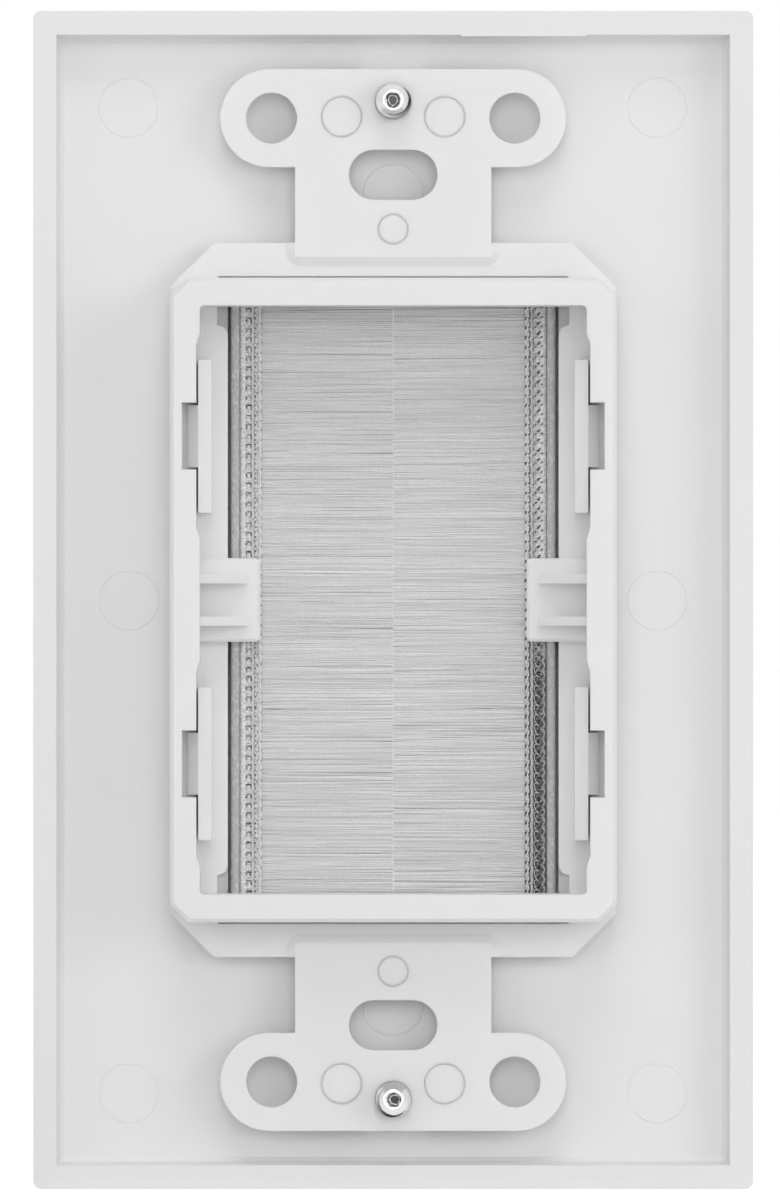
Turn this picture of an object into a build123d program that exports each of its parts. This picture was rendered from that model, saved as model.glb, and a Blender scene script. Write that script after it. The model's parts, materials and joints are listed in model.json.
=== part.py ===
from build123d import *
import math
import os

os.makedirs("parts", exist_ok=True)

# All sizes are in millimetres.
# +Z is up, the room is on the -Y side and the wall box is on the +Y side.
# Y = 0 is the wall surface, where the rim of the cover and the ears rest.

# Cover plate
cover_width = 69.85
cover_height = 114.3
cover_depth = 5.6
cover_corner_radius = 0.8
cover_bevel_width = 2.4
cover_bevel_depth = 1.1
cover_face_thickness = 2.0
rim_thickness_side = 2.25
rim_thickness_end = 2.3
rim_draft_angle = 5.0
rim_root_chamfer = 0.4
gate_pad_width = 12.2
gate_pad_thickness = 0.15
gate_pad_centre_x = -12.7
window_width = 33.5
window_height = 66.9
window_corner_radius = 0.6
screw_end_distance = 8.74
screw_boss_width = 6.2

# Brush bezel with its front frame, brush pocket, seat flange and snap latches
bezel_proud = 1.4
bezel_clearance = 0.2
bezel_corner_radius = 0.8
bezel_front_chamfer = 0.5
bezel_side_wall = 0.48
bezel_end_wall = 2.85
bezel_window_margin = 0.15
bezel_window_ledge = 1.7
bezel_window_radius = 0.8
bezel_window_chamfer = 0.6
seat_inset = 1.0
corner_notch_depth = 1.03
corner_notch_overlap = 1.77
corner_notch_radius = 1.0
corner_notch_floor = 0.25
side_groove_width = 0.5
side_groove_floor = 0.8
latch_stand_off = 1.5
latch_thickness = 1.31
latch_length = 14.8
latch_end_distance = 12.62
latch_end_chamfer = 0.12
hook_width = 6.0
hook_reach = 1.02
hook_shoulder = 0.45
hook_length = 1.7

# Strap frame with its ears, flange, rear box and hold-down tabs
ear_thickness = 2.2
ear_width = 33.55
ear_height = 9.5
ear_screw_offset = 1.66
ear_hole_diameter = 4.95
ear_hole_x = 11.8
box_slot_offset = 5.5
box_slot_length = 8.6
box_slot_height = 4.87
neck_width = 19.05
neck_foot_reach = 1.35
neck_foot_radius = 1.5
neck_foot_slope = 52.0
flange_end_width = 3.5
flange_chamfer = 4.2
flange_step = 0.7
slit_end_distance = 4.6
slit_width = 0.26
strip_end_hold = 1.93
box_side_wall = 2.9
box_end_wall = 2.68
box_rear_y = 6.5
box_corner_chamfer = 1.75
box_corner_radius = 0.9
box_rim_chamfer = 0.4
opening_corner_radius = 0.45
relief_depth = 0.35
relief_room = 2.5
relief_ramp = 1.0
latch_clearance = 0.17
hook_side_clearance = 0.25
hook_end_clearance = 0.53
notch_floor_y = 1.5
tab_overlap = 0.2
tab_half_height = 4.05
tab_thickness = 1.8
tab_corner_radius = 0.5
tab_edge_chamfer = 0.3
gusset_z = 2.05
gusset_thickness = 0.9
gusset_setback = 1.15
gusset_tip_height = 0.5
gusset_wall_y = 4.6

# Brush strips
strip_side_clearance = 0.3
strip_end_clearance = 0.1
strip_root_width = 3.02
fold_half_width = 0.6
fold_thickness = 1.6
band_thickness = 1.1
band_overlap = 0.05
bristle_gap = 0.12
bristle_thickness = 0.9
ridge_count = 22
ridge_depth = 0.16
core_wire_radius = 0.25
core_wire_clearance = 0.03

# Stitching on the two faces of each strip
stitch_count = 64
stitches_per_post = 60
post_width = 0.2
thread_clearance = 0.02
seam_outer_offset = 1.05
seam_width = 1.22
edge_seam_outer_offset = 2.33
thread_depth = 0.12
loop_depth = 0.3
tooth_depth = 0.25

# Cover screws
screw_shank_radius = 1.75
screw_clearance = 0.2
thread_fit = 0.03
screw_head_radius = 3.4
screw_head_angle = 82.0
screw_dome_height = 0.75
screw_dome_flat_radius = 1.7
screw_slot_width = 1.0
screw_slot_depth = 0.7
screw_tip_y = 3.0
tip_crater_radius = 0.9
tip_crater_depth = 0.5

# How far cutters run past a face, and how far joined pieces reach into each other
overrun = 1.0
root_overlap = 0.2

# Depth levels that follow from the sizes above
cover_front_y = -cover_depth
cover_back_y = cover_face_thickness - cover_depth
bevel_y = cover_bevel_depth - cover_depth
strap_front_y = -ear_thickness
flange_rear_y = -flange_step
pocket_floor_y = strap_front_y - fold_thickness
strip_middle_y = strap_front_y - fold_thickness / 2
bezel_front_y = cover_front_y - bezel_proud
latch_tip_y = notch_floor_y + hook_length
tab_rear_y = strap_front_y + tab_thickness

# Places across and up the plate that follow from the sizes above
bezel_width = window_width - 2 * bezel_clearance
bezel_height = window_height - 2 * bezel_clearance
pocket_half_width = bezel_width / 2 - bezel_side_wall
pocket_half_height = bezel_height / 2 - bezel_end_wall
latch_inner_x = pocket_half_width + latch_stand_off
latch_outer_x = latch_inner_x + latch_thickness
hook_tip_x = latch_outer_x + hook_reach
notch_half_width = hook_tip_x + hook_end_clearance
relief_half_width = latch_outer_x + latch_clearance
opening_half_width = relief_half_width - relief_depth
opening_half_height = pocket_half_height - strip_end_hold
box_half_width = opening_half_width + box_side_wall
box_half_height = opening_half_height + box_end_wall
flange_half_height = box_half_height + flange_end_width
neck_foot_z = flange_half_height - neck_foot_reach
seat_half_width = box_half_width - seat_inset
seat_half_height = flange_half_height - seat_inset
latch_centre_z = opening_half_height - latch_end_distance
screw_z = cover_height / 2 - screw_end_distance
ear_centre_z = screw_z - ear_screw_offset
box_slot_z = ear_centre_z - box_slot_offset
fold_outer_x = pocket_half_width - strip_side_clearance
fold_centre_x = fold_outer_x - fold_half_width
bristle_root_x = fold_outer_x - strip_root_width
seam_outer_x = fold_outer_x - seam_outer_offset
seam_inner_x = seam_outer_x - seam_width
edge_seam_outer_x = fold_outer_x - edge_seam_outer_offset
tab_tip_x = bristle_root_x + tab_overlap
gusset_tip_x = tab_tip_x + gusset_setback
strip_half_length = pocket_half_height - strip_end_clearance
seam_half_length = strip_half_length - strip_end_clearance
stitch_pitch = 2 * seam_half_length / stitch_count

# Drawing plane that looks along X, with depth across the drawing and height up it
depth_plane = Plane(origin=(0, 0, 0), x_dir=(0, 1, 0), z_dir=(1, 0, 0))


def rear_plane(y):
    # Drawing plane at depth y with X to the right and Z up
    return Plane(origin=(0, y, 0), x_dir=(1, 0, 0), z_dir=(0, -1, 0))


def prism(outline, front_y, rear_y):
    # Outline drawn in X and Z, pushed from rear_y forward to front_y
    return extrude(rear_plane(rear_y) * outline, amount=rear_y - front_y)


def bar(x0, x1, z0, z1):
    # Flat rectangle between two corners
    return Pos((x0 + x1) / 2, (z0 + z1) / 2) * Rectangle(abs(x1 - x0), abs(z1 - z0))


def block(x0, x1, front_y, rear_y, z0, z1):
    # Plain box between two corners
    return prism(bar(x0, x1, z0, z1), front_y, rear_y)


def disc(x, z, diameter):
    # Flat disc at a point
    return Pos(x, z) * Circle(diameter / 2)


def both_ends(outline):
    # The outline and its mirror image about the middle height
    return outline + mirror(outline, Plane.XZ)


def four_ways(outline):
    # The outline mirrored to all four quarters
    half = outline + mirror(outline, Plane.XZ)
    return half + mirror(half, Plane.YZ)


def turned(points):
    # Solid of revolution about the Y axis from points given as radius and y
    outline = make_face(Polyline(*points, close=True))
    return revolve(outline, Axis.Y)


def save(shape, name):
    # One named solid in its own file
    solids = shape.solids()
    solid = max(solids, key=lambda item: item.volume)
    solid.label = name
    export_step(solid, os.path.join("parts", name + ".step"))
    print(name, "solids", len(solids), "volume", round(solid.volume, 1))


# Cover plate: body with a bevelled front
cover_outline = RectangleRounded(cover_width, cover_height, cover_corner_radius)
cover_front_outline = RectangleRounded(
    cover_width - 2 * cover_bevel_width,
    cover_height - 2 * cover_bevel_width,
    cover_corner_radius,
)
cover = prism(cover_outline, bevel_y, 0)
cover += loft(
    [rear_plane(bevel_y) * cover_outline, rear_plane(cover_front_y) * cover_front_outline],
    ruled=True,
)

# Cover plate: drafted cavity with chamfered roots
cavity_half_width = cover_width / 2 - rim_thickness_side
cavity_half_height = cover_height / 2 - rim_thickness_end
cavity_outline = Rectangle(2 * cavity_half_width, 2 * cavity_half_height)
cavity = extrude(rear_plane(0) * cavity_outline, amount=-cover_back_y, taper=rim_draft_angle)
cavity = chamfer(cavity.faces().sort_by(Axis.Y)[0].edges(), rim_root_chamfer)
cover -= cavity

# Cover plate: gate pad inside the top rim, screw bosses and window
cover += block(
    gate_pad_centre_x - gate_pad_width / 2,
    gate_pad_centre_x + gate_pad_width / 2,
    cover_back_y - root_overlap,
    0,
    cavity_half_height - gate_pad_thickness,
    cavity_half_height + rim_thickness_end / 2,
)
bosses = both_ends(Pos(0, screw_z) * Rectangle(screw_boss_width, screw_boss_width))
cover += prism(bosses, cover_back_y - root_overlap, strap_front_y)
window = RectangleRounded(window_width, window_height, window_corner_radius)
cover -= prism(window, cover_front_y - overrun, overrun)

# Screw with an oval head, a slot, a shank and a hollow tip
head_slope = math.tan(math.radians(screw_head_angle / 2))
head_root_y = cover_front_y + (screw_head_radius - screw_shank_radius) / head_slope
dome_top_y = cover_front_y - screw_dome_height
screw = turned([
    (0, dome_top_y),
    (screw_dome_flat_radius, dome_top_y),
    (screw_head_radius, cover_front_y),
    (screw_shank_radius, head_root_y),
    (screw_shank_radius, screw_tip_y),
    (tip_crater_radius, screw_tip_y),
    (tip_crater_radius, screw_tip_y - tip_crater_depth),
    (0, screw_tip_y - tip_crater_depth),
])
screw -= block(
    -screw_head_radius - overrun,
    screw_head_radius + overrun,
    dome_top_y - overrun,
    dome_top_y + screw_slot_depth,
    -screw_slot_width / 2,
    screw_slot_width / 2,
)

# Countersunk holes of the cover, cut to the same cone as the screw heads
hole_radius = screw_shank_radius + screw_clearance
cutter = turned([
    (0, cover_front_y - overrun),
    (screw_head_radius, cover_front_y - overrun),
    (screw_head_radius, cover_front_y),
    (hole_radius, head_root_y - screw_clearance / head_slope),
    (hole_radius, overrun),
    (0, overrun),
])
cover -= Pos(0, 0, screw_z) * cutter
cover -= Pos(0, 0, -screw_z) * cutter
save(cover, "cover_plate")
save(Pos(0, 0, screw_z) * screw, "top_cover_screw")
save(Pos(0, 0, -screw_z) * screw, "bottom_cover_screw")

# Strap frame: ears and necks
ears = both_ends(Pos(0, ear_centre_z) * SlotOverall(ear_width, ear_height))
necks = both_ends(bar(-neck_width / 2, neck_width / 2, neck_foot_z, ear_centre_z))
strap = prism(ears + necks, strap_front_y, 0)

# Strap frame: flange with cut corners
flange_outline = Rectangle(2 * box_half_width, 2 * flange_half_height)
flange_outline = chamfer(flange_outline.vertices(), flange_chamfer)
strap += prism(flange_outline, strap_front_y, flange_rear_y)

# Strap frame: sloped feet of the necks on the flange
foot_spread = flange_step * math.tan(math.radians(neck_foot_slope))
foot_outline = bar(
    -neck_width / 2 - foot_spread,
    neck_width / 2 + foot_spread,
    neck_foot_z - foot_spread,
    ear_centre_z,
)
foot_outline = fillet(foot_outline.vertices(), neck_foot_radius)
foot = extrude(
    rear_plane(flange_rear_y) * foot_outline,
    amount=-flange_step,
    taper=neck_foot_slope,
)
foot_room = block(
    -neck_width,
    neck_width,
    strap_front_y,
    0,
    box_half_height,
    flange_half_height,
)
foot = foot & foot_room
strap += foot
strap += mirror(foot, Plane.XY)

# Strap frame: rear box with a softened rim
box_outline = Rectangle(2 * box_half_width, 2 * box_half_height)
box_outline = chamfer(box_outline.vertices(), box_corner_chamfer)
box_outline = fillet(box_outline.vertices(), box_corner_radius)
box = prism(box_outline, strap_front_y, box_rear_y)
box = chamfer(box.faces().sort_by(Axis.Y)[-1].edges(), box_rim_chamfer)
strap += box

# Strap frame: opening with room for the latches, notches for the hooks and slits
opening = RectangleRounded(
    2 * opening_half_width,
    2 * opening_half_height,
    opening_corner_radius,
)
relief_low_z = latch_centre_z - latch_length / 2 - relief_room
relief_high_z = latch_centre_z + latch_length / 2 + relief_room
relief = make_face(Polyline(
    (0, relief_low_z),
    (opening_half_width, relief_low_z),
    (relief_half_width, relief_low_z + relief_ramp),
    (relief_half_width, relief_high_z - relief_ramp),
    (opening_half_width, relief_high_z),
    (0, relief_high_z),
    close=True,
))
opening += four_ways(relief)
strap -= prism(opening, strap_front_y - overrun, box_rear_y + overrun)
notch_half_height = hook_width / 2 + hook_side_clearance
notches = four_ways(bar(
    0,
    notch_half_width,
    latch_centre_z - notch_half_height,
    latch_centre_z + notch_half_height,
))
strap -= prism(notches, notch_floor_y, box_rear_y + overrun)
slit_half_length = box_half_width - slit_end_distance
slits = both_ends(bar(
    -slit_half_length,
    slit_half_length,
    box_half_height,
    box_half_height + slit_width,
))
strap -= prism(slits, strap_front_y - overrun, 0)

# Strap frame: two hold-down tabs, each with two gussets
tab_root_x = (opening_half_width + box_half_width) / 2
tab_outline = bar(tab_tip_x, tab_root_x, -tab_half_height, tab_half_height)
tab_tips = tab_outline.vertices().sort_by(Axis.X)[0:2]
tab_outline = fillet(tab_tips, tab_corner_radius)
tab = prism(tab_outline, strap_front_y, tab_rear_y)
tab = chamfer(tab.faces().sort_by(Axis.Y)[-1].edges(), tab_edge_chamfer)
gusset_outline = make_face(Polyline(
    (gusset_tip_x, strap_front_y),
    (gusset_tip_x, tab_rear_y + gusset_tip_height),
    (opening_half_width, gusset_wall_y),
    (tab_root_x, gusset_wall_y),
    (tab_root_x, strap_front_y),
    close=True,
))
gusset = extrude(gusset_outline, amount=gusset_thickness / 2, both=True)
tab += Pos(0, 0, gusset_z) * gusset
tab += Pos(0, 0, -gusset_z) * gusset
strap += tab
strap += mirror(tab, Plane.YZ)

# Strap frame: holes in the ears and necks
ear_cuts = four_ways(disc(ear_hole_x, ear_centre_z, ear_hole_diameter))
ear_cuts += both_ends(disc(0, screw_z, 2 * (screw_shank_radius + thread_fit)))
ear_cuts += both_ends(Pos(0, box_slot_z) * SlotOverall(box_slot_length, box_slot_height))
strap -= prism(ear_cuts, strap_front_y - overrun, overrun)
save(strap, "strap_frame")

# Brush bezel: front frame that fills the cover window
front_outline = RectangleRounded(bezel_width, bezel_height, bezel_corner_radius)
bezel = prism(front_outline, bezel_front_y, strap_front_y)
bezel = chamfer(bezel.faces().sort_by(Axis.Y)[0].edges(), bezel_front_chamfer)

# Brush bezel: seat flange held between the cover and the strap
seat_outline = Rectangle(2 * seat_half_width, 2 * seat_half_height)
seat_outline = chamfer(seat_outline.vertices(), flange_chamfer)
bezel += prism(seat_outline, cover_back_y, strap_front_y)

# Brush bezel: brush pocket with a deep groove along each side, and front window
pocket_outline = Rectangle(2 * pocket_half_width, 2 * pocket_half_height)
bezel -= prism(pocket_outline, pocket_floor_y, 0)
side_groove = bar(
    pocket_half_width - side_groove_width,
    pocket_half_width,
    -pocket_half_height,
    pocket_half_height,
)
groove_floor_y = bezel_front_y + side_groove_floor
bezel -= prism(side_groove + mirror(side_groove, Plane.YZ), groove_floor_y, 0)

# Brush bezel: blind notches at the corners, each rounded over into the pocket
corner_notch_z = opening_half_height - corner_notch_overlap
corner_notch = bar(
    0,
    pocket_half_width + corner_notch_depth,
    corner_notch_z,
    pocket_half_height,
)
notch_round_x = pocket_half_width + corner_notch_radius
notch_round_z = corner_notch_z - corner_notch_radius
corner_notch += bar(0, notch_round_x, notch_round_z, corner_notch_z)
corner_notch -= disc(notch_round_x, notch_round_z, 2 * corner_notch_radius)
bezel -= prism(four_ways(corner_notch), cover_back_y + corner_notch_floor, 0)
bezel_window_half_width = bristle_root_x + bezel_window_margin
bezel_window_half_height = pocket_half_height - bezel_window_ledge
bezel_window = RectangleRounded(
    2 * bezel_window_half_width,
    2 * bezel_window_half_height,
    bezel_window_radius,
)
bezel -= prism(bezel_window, bezel_front_y - overrun, 0)
bezel -= extrude(
    rear_plane(bezel_front_y + bezel_window_chamfer) * bezel_window,
    amount=bezel_window_chamfer,
    taper=-45,
)

# Brush bezel: four latches with hooks
latch_outline = bar(
    latch_inner_x,
    latch_outer_x,
    latch_centre_z - latch_length / 2,
    latch_centre_z + latch_length / 2,
)
latch_outline = chamfer(latch_outline.vertices(), latch_end_chamfer)
latch = prism(latch_outline, strap_front_y - root_overlap, latch_tip_y)
latch_middle_x = (latch_inner_x + latch_outer_x) / 2
hook_outline = make_face(Polyline(
    (latch_middle_x, notch_floor_y),
    (hook_tip_x, notch_floor_y),
    (hook_tip_x, notch_floor_y + hook_shoulder),
    (latch_outer_x, latch_tip_y),
    (latch_middle_x, latch_tip_y),
    close=True,
))
hook = extrude(hook_outline, amount=hook_width / 2, both=True)
latch += Pos(0, 0, latch_centre_z) * hook
latch_pair = latch + mirror(latch, Plane.XY)
bezel += latch_pair
bezel += mirror(latch_pair, Plane.YZ)
save(bezel, "brush_bezel")

# Brush strip: folded band round the core wire
band_inner_x = bristle_root_x - band_overlap
fold_profile = Pos(fold_centre_x, strip_middle_y) * Ellipse(fold_half_width, fold_thickness / 2)
fold_profile += Pos((fold_centre_x + band_inner_x) / 2, strip_middle_y) * Rectangle(
    fold_centre_x - band_inner_x,
    band_thickness,
)
wire_channel = core_wire_radius + core_wire_clearance
fold_profile -= Pos(fold_centre_x, strip_middle_y) * Circle(wire_channel)
band = Pos(0, 0, -strip_half_length) * extrude(fold_profile, amount=2 * strip_half_length)

# Brush strip: free bristles as a sheet with a ridge for each row of bristles
ridge_pitch = 2 * strip_half_length / ridge_count
ridge_top = bristle_thickness / 2
ridge_root = ridge_top - ridge_depth
rear_side = []
front_side = []
for ridge in range(ridge_count):
    z = -strip_half_length + ridge * ridge_pitch
    rear_side.append((strip_middle_y + ridge_root, z))
    rear_side.append((strip_middle_y + ridge_top, z + ridge_pitch / 2))
    front_side.append((strip_middle_y - ridge_root, z))
    front_side.append((strip_middle_y - ridge_top, z + ridge_pitch / 2))
rear_side.append((strip_middle_y + ridge_root, strip_half_length))
front_side.append((strip_middle_y - ridge_root, strip_half_length))
sheet_outline = make_face(Polyline(*(rear_side + front_side[::-1]), close=True))
sheet = extrude(depth_plane * sheet_outline, amount=bristle_root_x - bristle_gap / 2)
bristles = band + Pos(bristle_gap / 2, 0, 0) * sheet

# Levels of the threads, which lie between the band and the level of the fold
band_rear_y = strip_middle_y + band_thickness / 2
band_front_y = strip_middle_y - band_thickness / 2
thread_thickness = (fold_thickness - band_thickness) / 2
post_reach = (thread_thickness - thread_depth) / 2


def ribbed_seam(outer_x, inner_x):
    # Thread on the rear face of the band with a ridge across it at every stitch
    crest_y = band_rear_y + thread_thickness
    points = [(band_rear_y, seam_half_length), (band_rear_y, -seam_half_length)]
    for stitch in range(stitch_count):
        z = -seam_half_length + stitch * stitch_pitch
        points.append((crest_y - thread_depth, z))
        points.append((crest_y, z + stitch_pitch / 2))
    points.append((crest_y - thread_depth, seam_half_length))
    outline = make_face(Polyline(*points, close=True))
    return Pos(inner_x, 0, 0) * extrude(depth_plane * outline, amount=outer_x - inner_x)


def looped_seam(straight_x, looped_x, depth):
    # Thread on the front face of the band that swings to one side at every stitch
    points = [(straight_x, seam_half_length), (straight_x, -seam_half_length)]
    for stitch in range(stitch_count):
        z = -seam_half_length + stitch * stitch_pitch
        points.append((looped_x - depth, z))
        points.append((looped_x, z + stitch_pitch / 2))
    points.append((looped_x - depth, seam_half_length))
    outline = make_face(Polyline(*points, close=True))
    return prism(outline, band_front_y - thread_thickness, band_front_y)


def posts(x, width, reach):
    # Row of thread posts through the band at one x
    row = Sketch()
    for stitch in range(2, stitch_count - 1, stitches_per_post):
        z = -seam_half_length + stitch * stitch_pitch
        row += bar(x - width / 2, x + width / 2, z - width / 2, z + width / 2)
    return prism(row, band_front_y - reach, band_rear_y + reach)


def flat_seam(outer_x, inner_x, front_y):
    # Plain thread on the face of the strip that lies against the bezel
    return block(
        inner_x,
        outer_x,
        front_y,
        front_y + thread_thickness,
        -seam_half_length,
        seam_half_length,
    )


# Main seam and edge seam, each joined through the band by posts
main_post_x = (seam_inner_x + seam_outer_x - loop_depth) / 2
edge_post_x = (edge_seam_outer_x + bristle_root_x + tooth_depth) / 2
post_hole = post_width + 2 * thread_clearance
bristles -= posts(main_post_x, post_hole, overrun)
bristles -= posts(edge_post_x, post_hole, overrun)
main_posts = posts(main_post_x, post_width, post_reach)
edge_posts = posts(edge_post_x, post_width, post_reach)
ribbed_main = main_posts + ribbed_seam(seam_outer_x, seam_inner_x)
ribbed_main += flat_seam(seam_outer_x, seam_inner_x, band_front_y - thread_thickness)
ribbed_edge = edge_posts + ribbed_seam(edge_seam_outer_x, bristle_root_x)
ribbed_edge += flat_seam(edge_seam_outer_x, bristle_root_x, band_front_y - thread_thickness)
looped_main = main_posts + looped_seam(seam_inner_x, seam_outer_x, loop_depth)
looped_main += flat_seam(seam_outer_x, seam_inner_x, band_rear_y)
looped_edge = edge_posts + looped_seam(edge_seam_outer_x, bristle_root_x, -tooth_depth)
looped_edge += flat_seam(edge_seam_outer_x, bristle_root_x, band_rear_y)
wire_section = Pos(fold_centre_x, strip_middle_y) * Circle(core_wire_radius)
core_wire = Pos(0, 0, -strip_half_length) * extrude(wire_section, amount=2 * strip_half_length)

# The second strip is turned half a turn about a vertical line, so its other face shows
turn_over = Pos(0, strip_middle_y, 0) * Rot(0, 0, 180) * Pos(0, -strip_middle_y, 0)
save(bristles, "right_bristles")
save(core_wire, "right_core_wire")
save(ribbed_main, "right_ladder_stitch")
save(ribbed_edge, "right_edge_stitch")
save(turn_over * bristles, "left_bristles")
save(turn_over * core_wire, "left_core_wire")
save(turn_over * looped_main, "left_ladder_stitch")
save(turn_over * looped_edge, "left_edge_stitch")
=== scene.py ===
import json
import math
import bmesh
import bpy
from mathutils import Matrix, Vector

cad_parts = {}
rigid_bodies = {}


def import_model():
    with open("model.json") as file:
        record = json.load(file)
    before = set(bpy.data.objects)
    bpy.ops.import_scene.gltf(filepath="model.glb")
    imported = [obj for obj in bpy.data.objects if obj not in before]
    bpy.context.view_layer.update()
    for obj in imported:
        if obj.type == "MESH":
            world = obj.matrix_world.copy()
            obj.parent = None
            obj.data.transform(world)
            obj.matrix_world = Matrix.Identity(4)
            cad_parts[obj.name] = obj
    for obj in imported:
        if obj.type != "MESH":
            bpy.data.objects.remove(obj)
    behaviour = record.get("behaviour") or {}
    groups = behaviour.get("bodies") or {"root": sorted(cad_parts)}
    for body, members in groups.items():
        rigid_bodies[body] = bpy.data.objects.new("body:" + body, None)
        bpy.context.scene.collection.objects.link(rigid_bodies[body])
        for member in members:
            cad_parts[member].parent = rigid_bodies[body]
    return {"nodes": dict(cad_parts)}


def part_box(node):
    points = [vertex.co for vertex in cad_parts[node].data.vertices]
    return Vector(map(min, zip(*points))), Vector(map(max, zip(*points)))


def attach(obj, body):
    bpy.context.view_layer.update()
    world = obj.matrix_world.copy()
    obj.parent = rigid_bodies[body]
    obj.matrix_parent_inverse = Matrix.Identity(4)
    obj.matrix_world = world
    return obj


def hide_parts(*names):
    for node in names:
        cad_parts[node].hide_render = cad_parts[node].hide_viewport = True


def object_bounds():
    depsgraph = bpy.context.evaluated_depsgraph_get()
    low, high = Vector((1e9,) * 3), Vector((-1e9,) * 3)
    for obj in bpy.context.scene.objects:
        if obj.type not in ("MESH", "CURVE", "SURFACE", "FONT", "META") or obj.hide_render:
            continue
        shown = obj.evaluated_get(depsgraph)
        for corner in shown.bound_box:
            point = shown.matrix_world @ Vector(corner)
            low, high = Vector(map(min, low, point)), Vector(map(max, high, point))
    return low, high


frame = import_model()
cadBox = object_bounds()
nodes = frame["nodes"]
mm = 0.001


class Wire:
    # A node's output with Python arithmetic: each operator adds one Math node
    def __init__(self, graph, socket):
        self.graph = graph
        self.socket = socket

    def maths(self, operation, *values):
        return self.graph.node("ShaderNodeMath", {"operation": operation}, dict(enumerate(values)))

    def __add__(self, other):
        return self.maths("ADD", self, other)

    def __sub__(self, other):
        return self.maths("SUBTRACT", self, other)

    def __mul__(self, other):
        return self.maths("MULTIPLY", self, other)

    def __truediv__(self, other):
        return self.maths("DIVIDE", self, other)

    def __mod__(self, other):
        return self.maths("FLOORED_MODULO", self, other)

    def __pow__(self, other):
        return self.maths("POWER", self, other)

    def __rsub__(self, other):
        return self.maths("SUBTRACT", other, self)

    def __rtruediv__(self, other):
        return self.maths("DIVIDE", other, self)

    def __gt__(self, other):
        return self.maths("GREATER_THAN", self, other)

    def __lt__(self, other):
        return self.maths("LESS_THAN", self, other)

    __radd__ = __add__

    def sin(self):
        return self.maths("SINE", self)

    def cos(self):
        return self.maths("COSINE", self)

    def floor(self):
        return self.maths("FLOOR", self)

    def abs(self):
        return self.maths("ABSOLUTE", self)

    def sqrt(self):
        return self.maths("SQRT", self)

    def most(self, other):  # never more than the other
        return self.maths("MINIMUM", self, other)

    def least(self, other):  # never less than the other
        return self.maths("MAXIMUM", self, other)

    def clamp(self):
        return self.least(0.0).most(1.0)

    def angle(self, other):
        # Angle of the point whose height is this wire and whose width is the other
        return self.maths("ARCTAN2", self, other)


class Graph:
    # A node tree that grows by one call per node
    def __init__(self, tree):
        self.tree = tree

    def node(self, kind, settings=None, sockets=None, output=0):
        made = self.tree.nodes.new(kind)
        for name, value in (settings or {}).items():
            setattr(made, name, value)
        for key, value in (sockets or {}).items():
            if isinstance(value, Wire):
                self.tree.links.new(value.socket, made.inputs[key])
            else:
                made.inputs[key].default_value = value
        return Wire(self, made.outputs[output])

    def other(self, wire, name):
        # Another output of the node that a wire comes from
        return Wire(self, wire.socket.node.outputs[name])

    def end(self, kind, wire):
        out = self.tree.nodes.new(kind)
        self.tree.links.new(wire.socket, out.inputs[0])

    def objectPlace(self):
        return self.other(self.node("ShaderNodeTexCoord"), "Object")

    def point(self, **parts):
        # A vector from its X, Y and Z
        return self.node("ShaderNodeCombineXYZ", {}, parts)

    def noise(self, place, scale=1.0, detail=2.0):
        return self.node("ShaderNodeTexNoise", {}, {
            "Vector": place, "Scale": scale, "Detail": detail})

    def bump(self, height):
        return self.node("ShaderNodeBump", {}, {
            "Height": height, "Strength": 1.0, "Distance": 1.0})

    def mixColours(self, factor, first, second):
        return self.node("ShaderNodeMix", {"data_type": "RGBA"}, {
            0: factor, 6: first, 7: second}, 2)


def newMaterial(name):
    material = bpy.data.materials.new(name)
    material.use_nodes = True
    material.node_tree.nodes.clear()
    return material, Graph(material.node_tree)


def grey(level):
    return (level, level, level, 1)


plasticFinish = {
    "brightness": 0.84,
    "unevenness": 0.02,  # share of the brightness
    "roughness": 0.42,
    "roughnessSpread": 0.08,
    "translucency": 0.0,
    "lightReach": 1.0 * mm,  # how far light spreads inside the wall
    "grainSize": 0.25 * mm,  # fine texture left by the mould
    "grainDepth": 0.006 * mm,
    "sinkSize": 14 * mm,  # slow waves where the wall cooled unevenly
    "sinkDepth": 0.02 * mm,
}


def plasticMaterial(name, finish):
    material, graph = newMaterial(name)
    place = graph.objectPlace()
    sink = graph.noise(place, 1 / finish["sinkSize"])
    grain = graph.noise(place, 1 / finish["grainSize"])
    level, change = finish["brightness"], finish["unevenness"]
    spread = finish["roughnessSpread"]
    height = sink * finish["sinkDepth"] + grain * finish["grainDepth"]
    surface = graph.node("ShaderNodeBsdfPrincipled", {}, {
        "Base Color": graph.mixColours(
            sink, grey(level * (1 - change)), grey(level * (1 + change))),
        "Roughness": finish["roughness"] - spread / 2 + grain * spread,
        "Normal": graph.bump(height),
        "IOR": 1.5,
        "Subsurface Weight": finish["translucency"],
        "Subsurface Radius": (1.0, 1.0, 1.0),
        "Subsurface Scale": finish["lightReach"],
    })
    graph.end("ShaderNodeOutputMaterial", surface)
    return material


filamentFinish = {
    "darkest": 0.44,
    "palest": 0.87,
    "roughness": 0.4,
    "mottleSize": 0.11 * mm,
    "mottleStrength": 0.7,
}
threadFinish = filamentFinish | {"darkest": 0.05, "palest": 0.95, "roughness": 0.7}


def filamentMaterial(name, finish):
    # Each strand has its own shade, kept in the strand attribute
    material, graph = newMaterial(name)
    strand = graph.node("ShaderNodeAttribute", {"attribute_name": "strand"}, {}, "Fac")
    mottle = graph.noise(graph.objectPlace(), 1 / finish["mottleSize"])
    shade = (strand + (mottle - 0.5) * finish["mottleStrength"]).clamp()
    surface = graph.node("ShaderNodeBsdfPrincipled", {}, {
        "Base Color": graph.mixColours(shade, grey(finish["darkest"]), grey(finish["palest"])),
        "Roughness": finish["roughness"],
        "IOR": 1.53,
    })
    graph.end("ShaderNodeOutputMaterial", surface)
    return material


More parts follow.
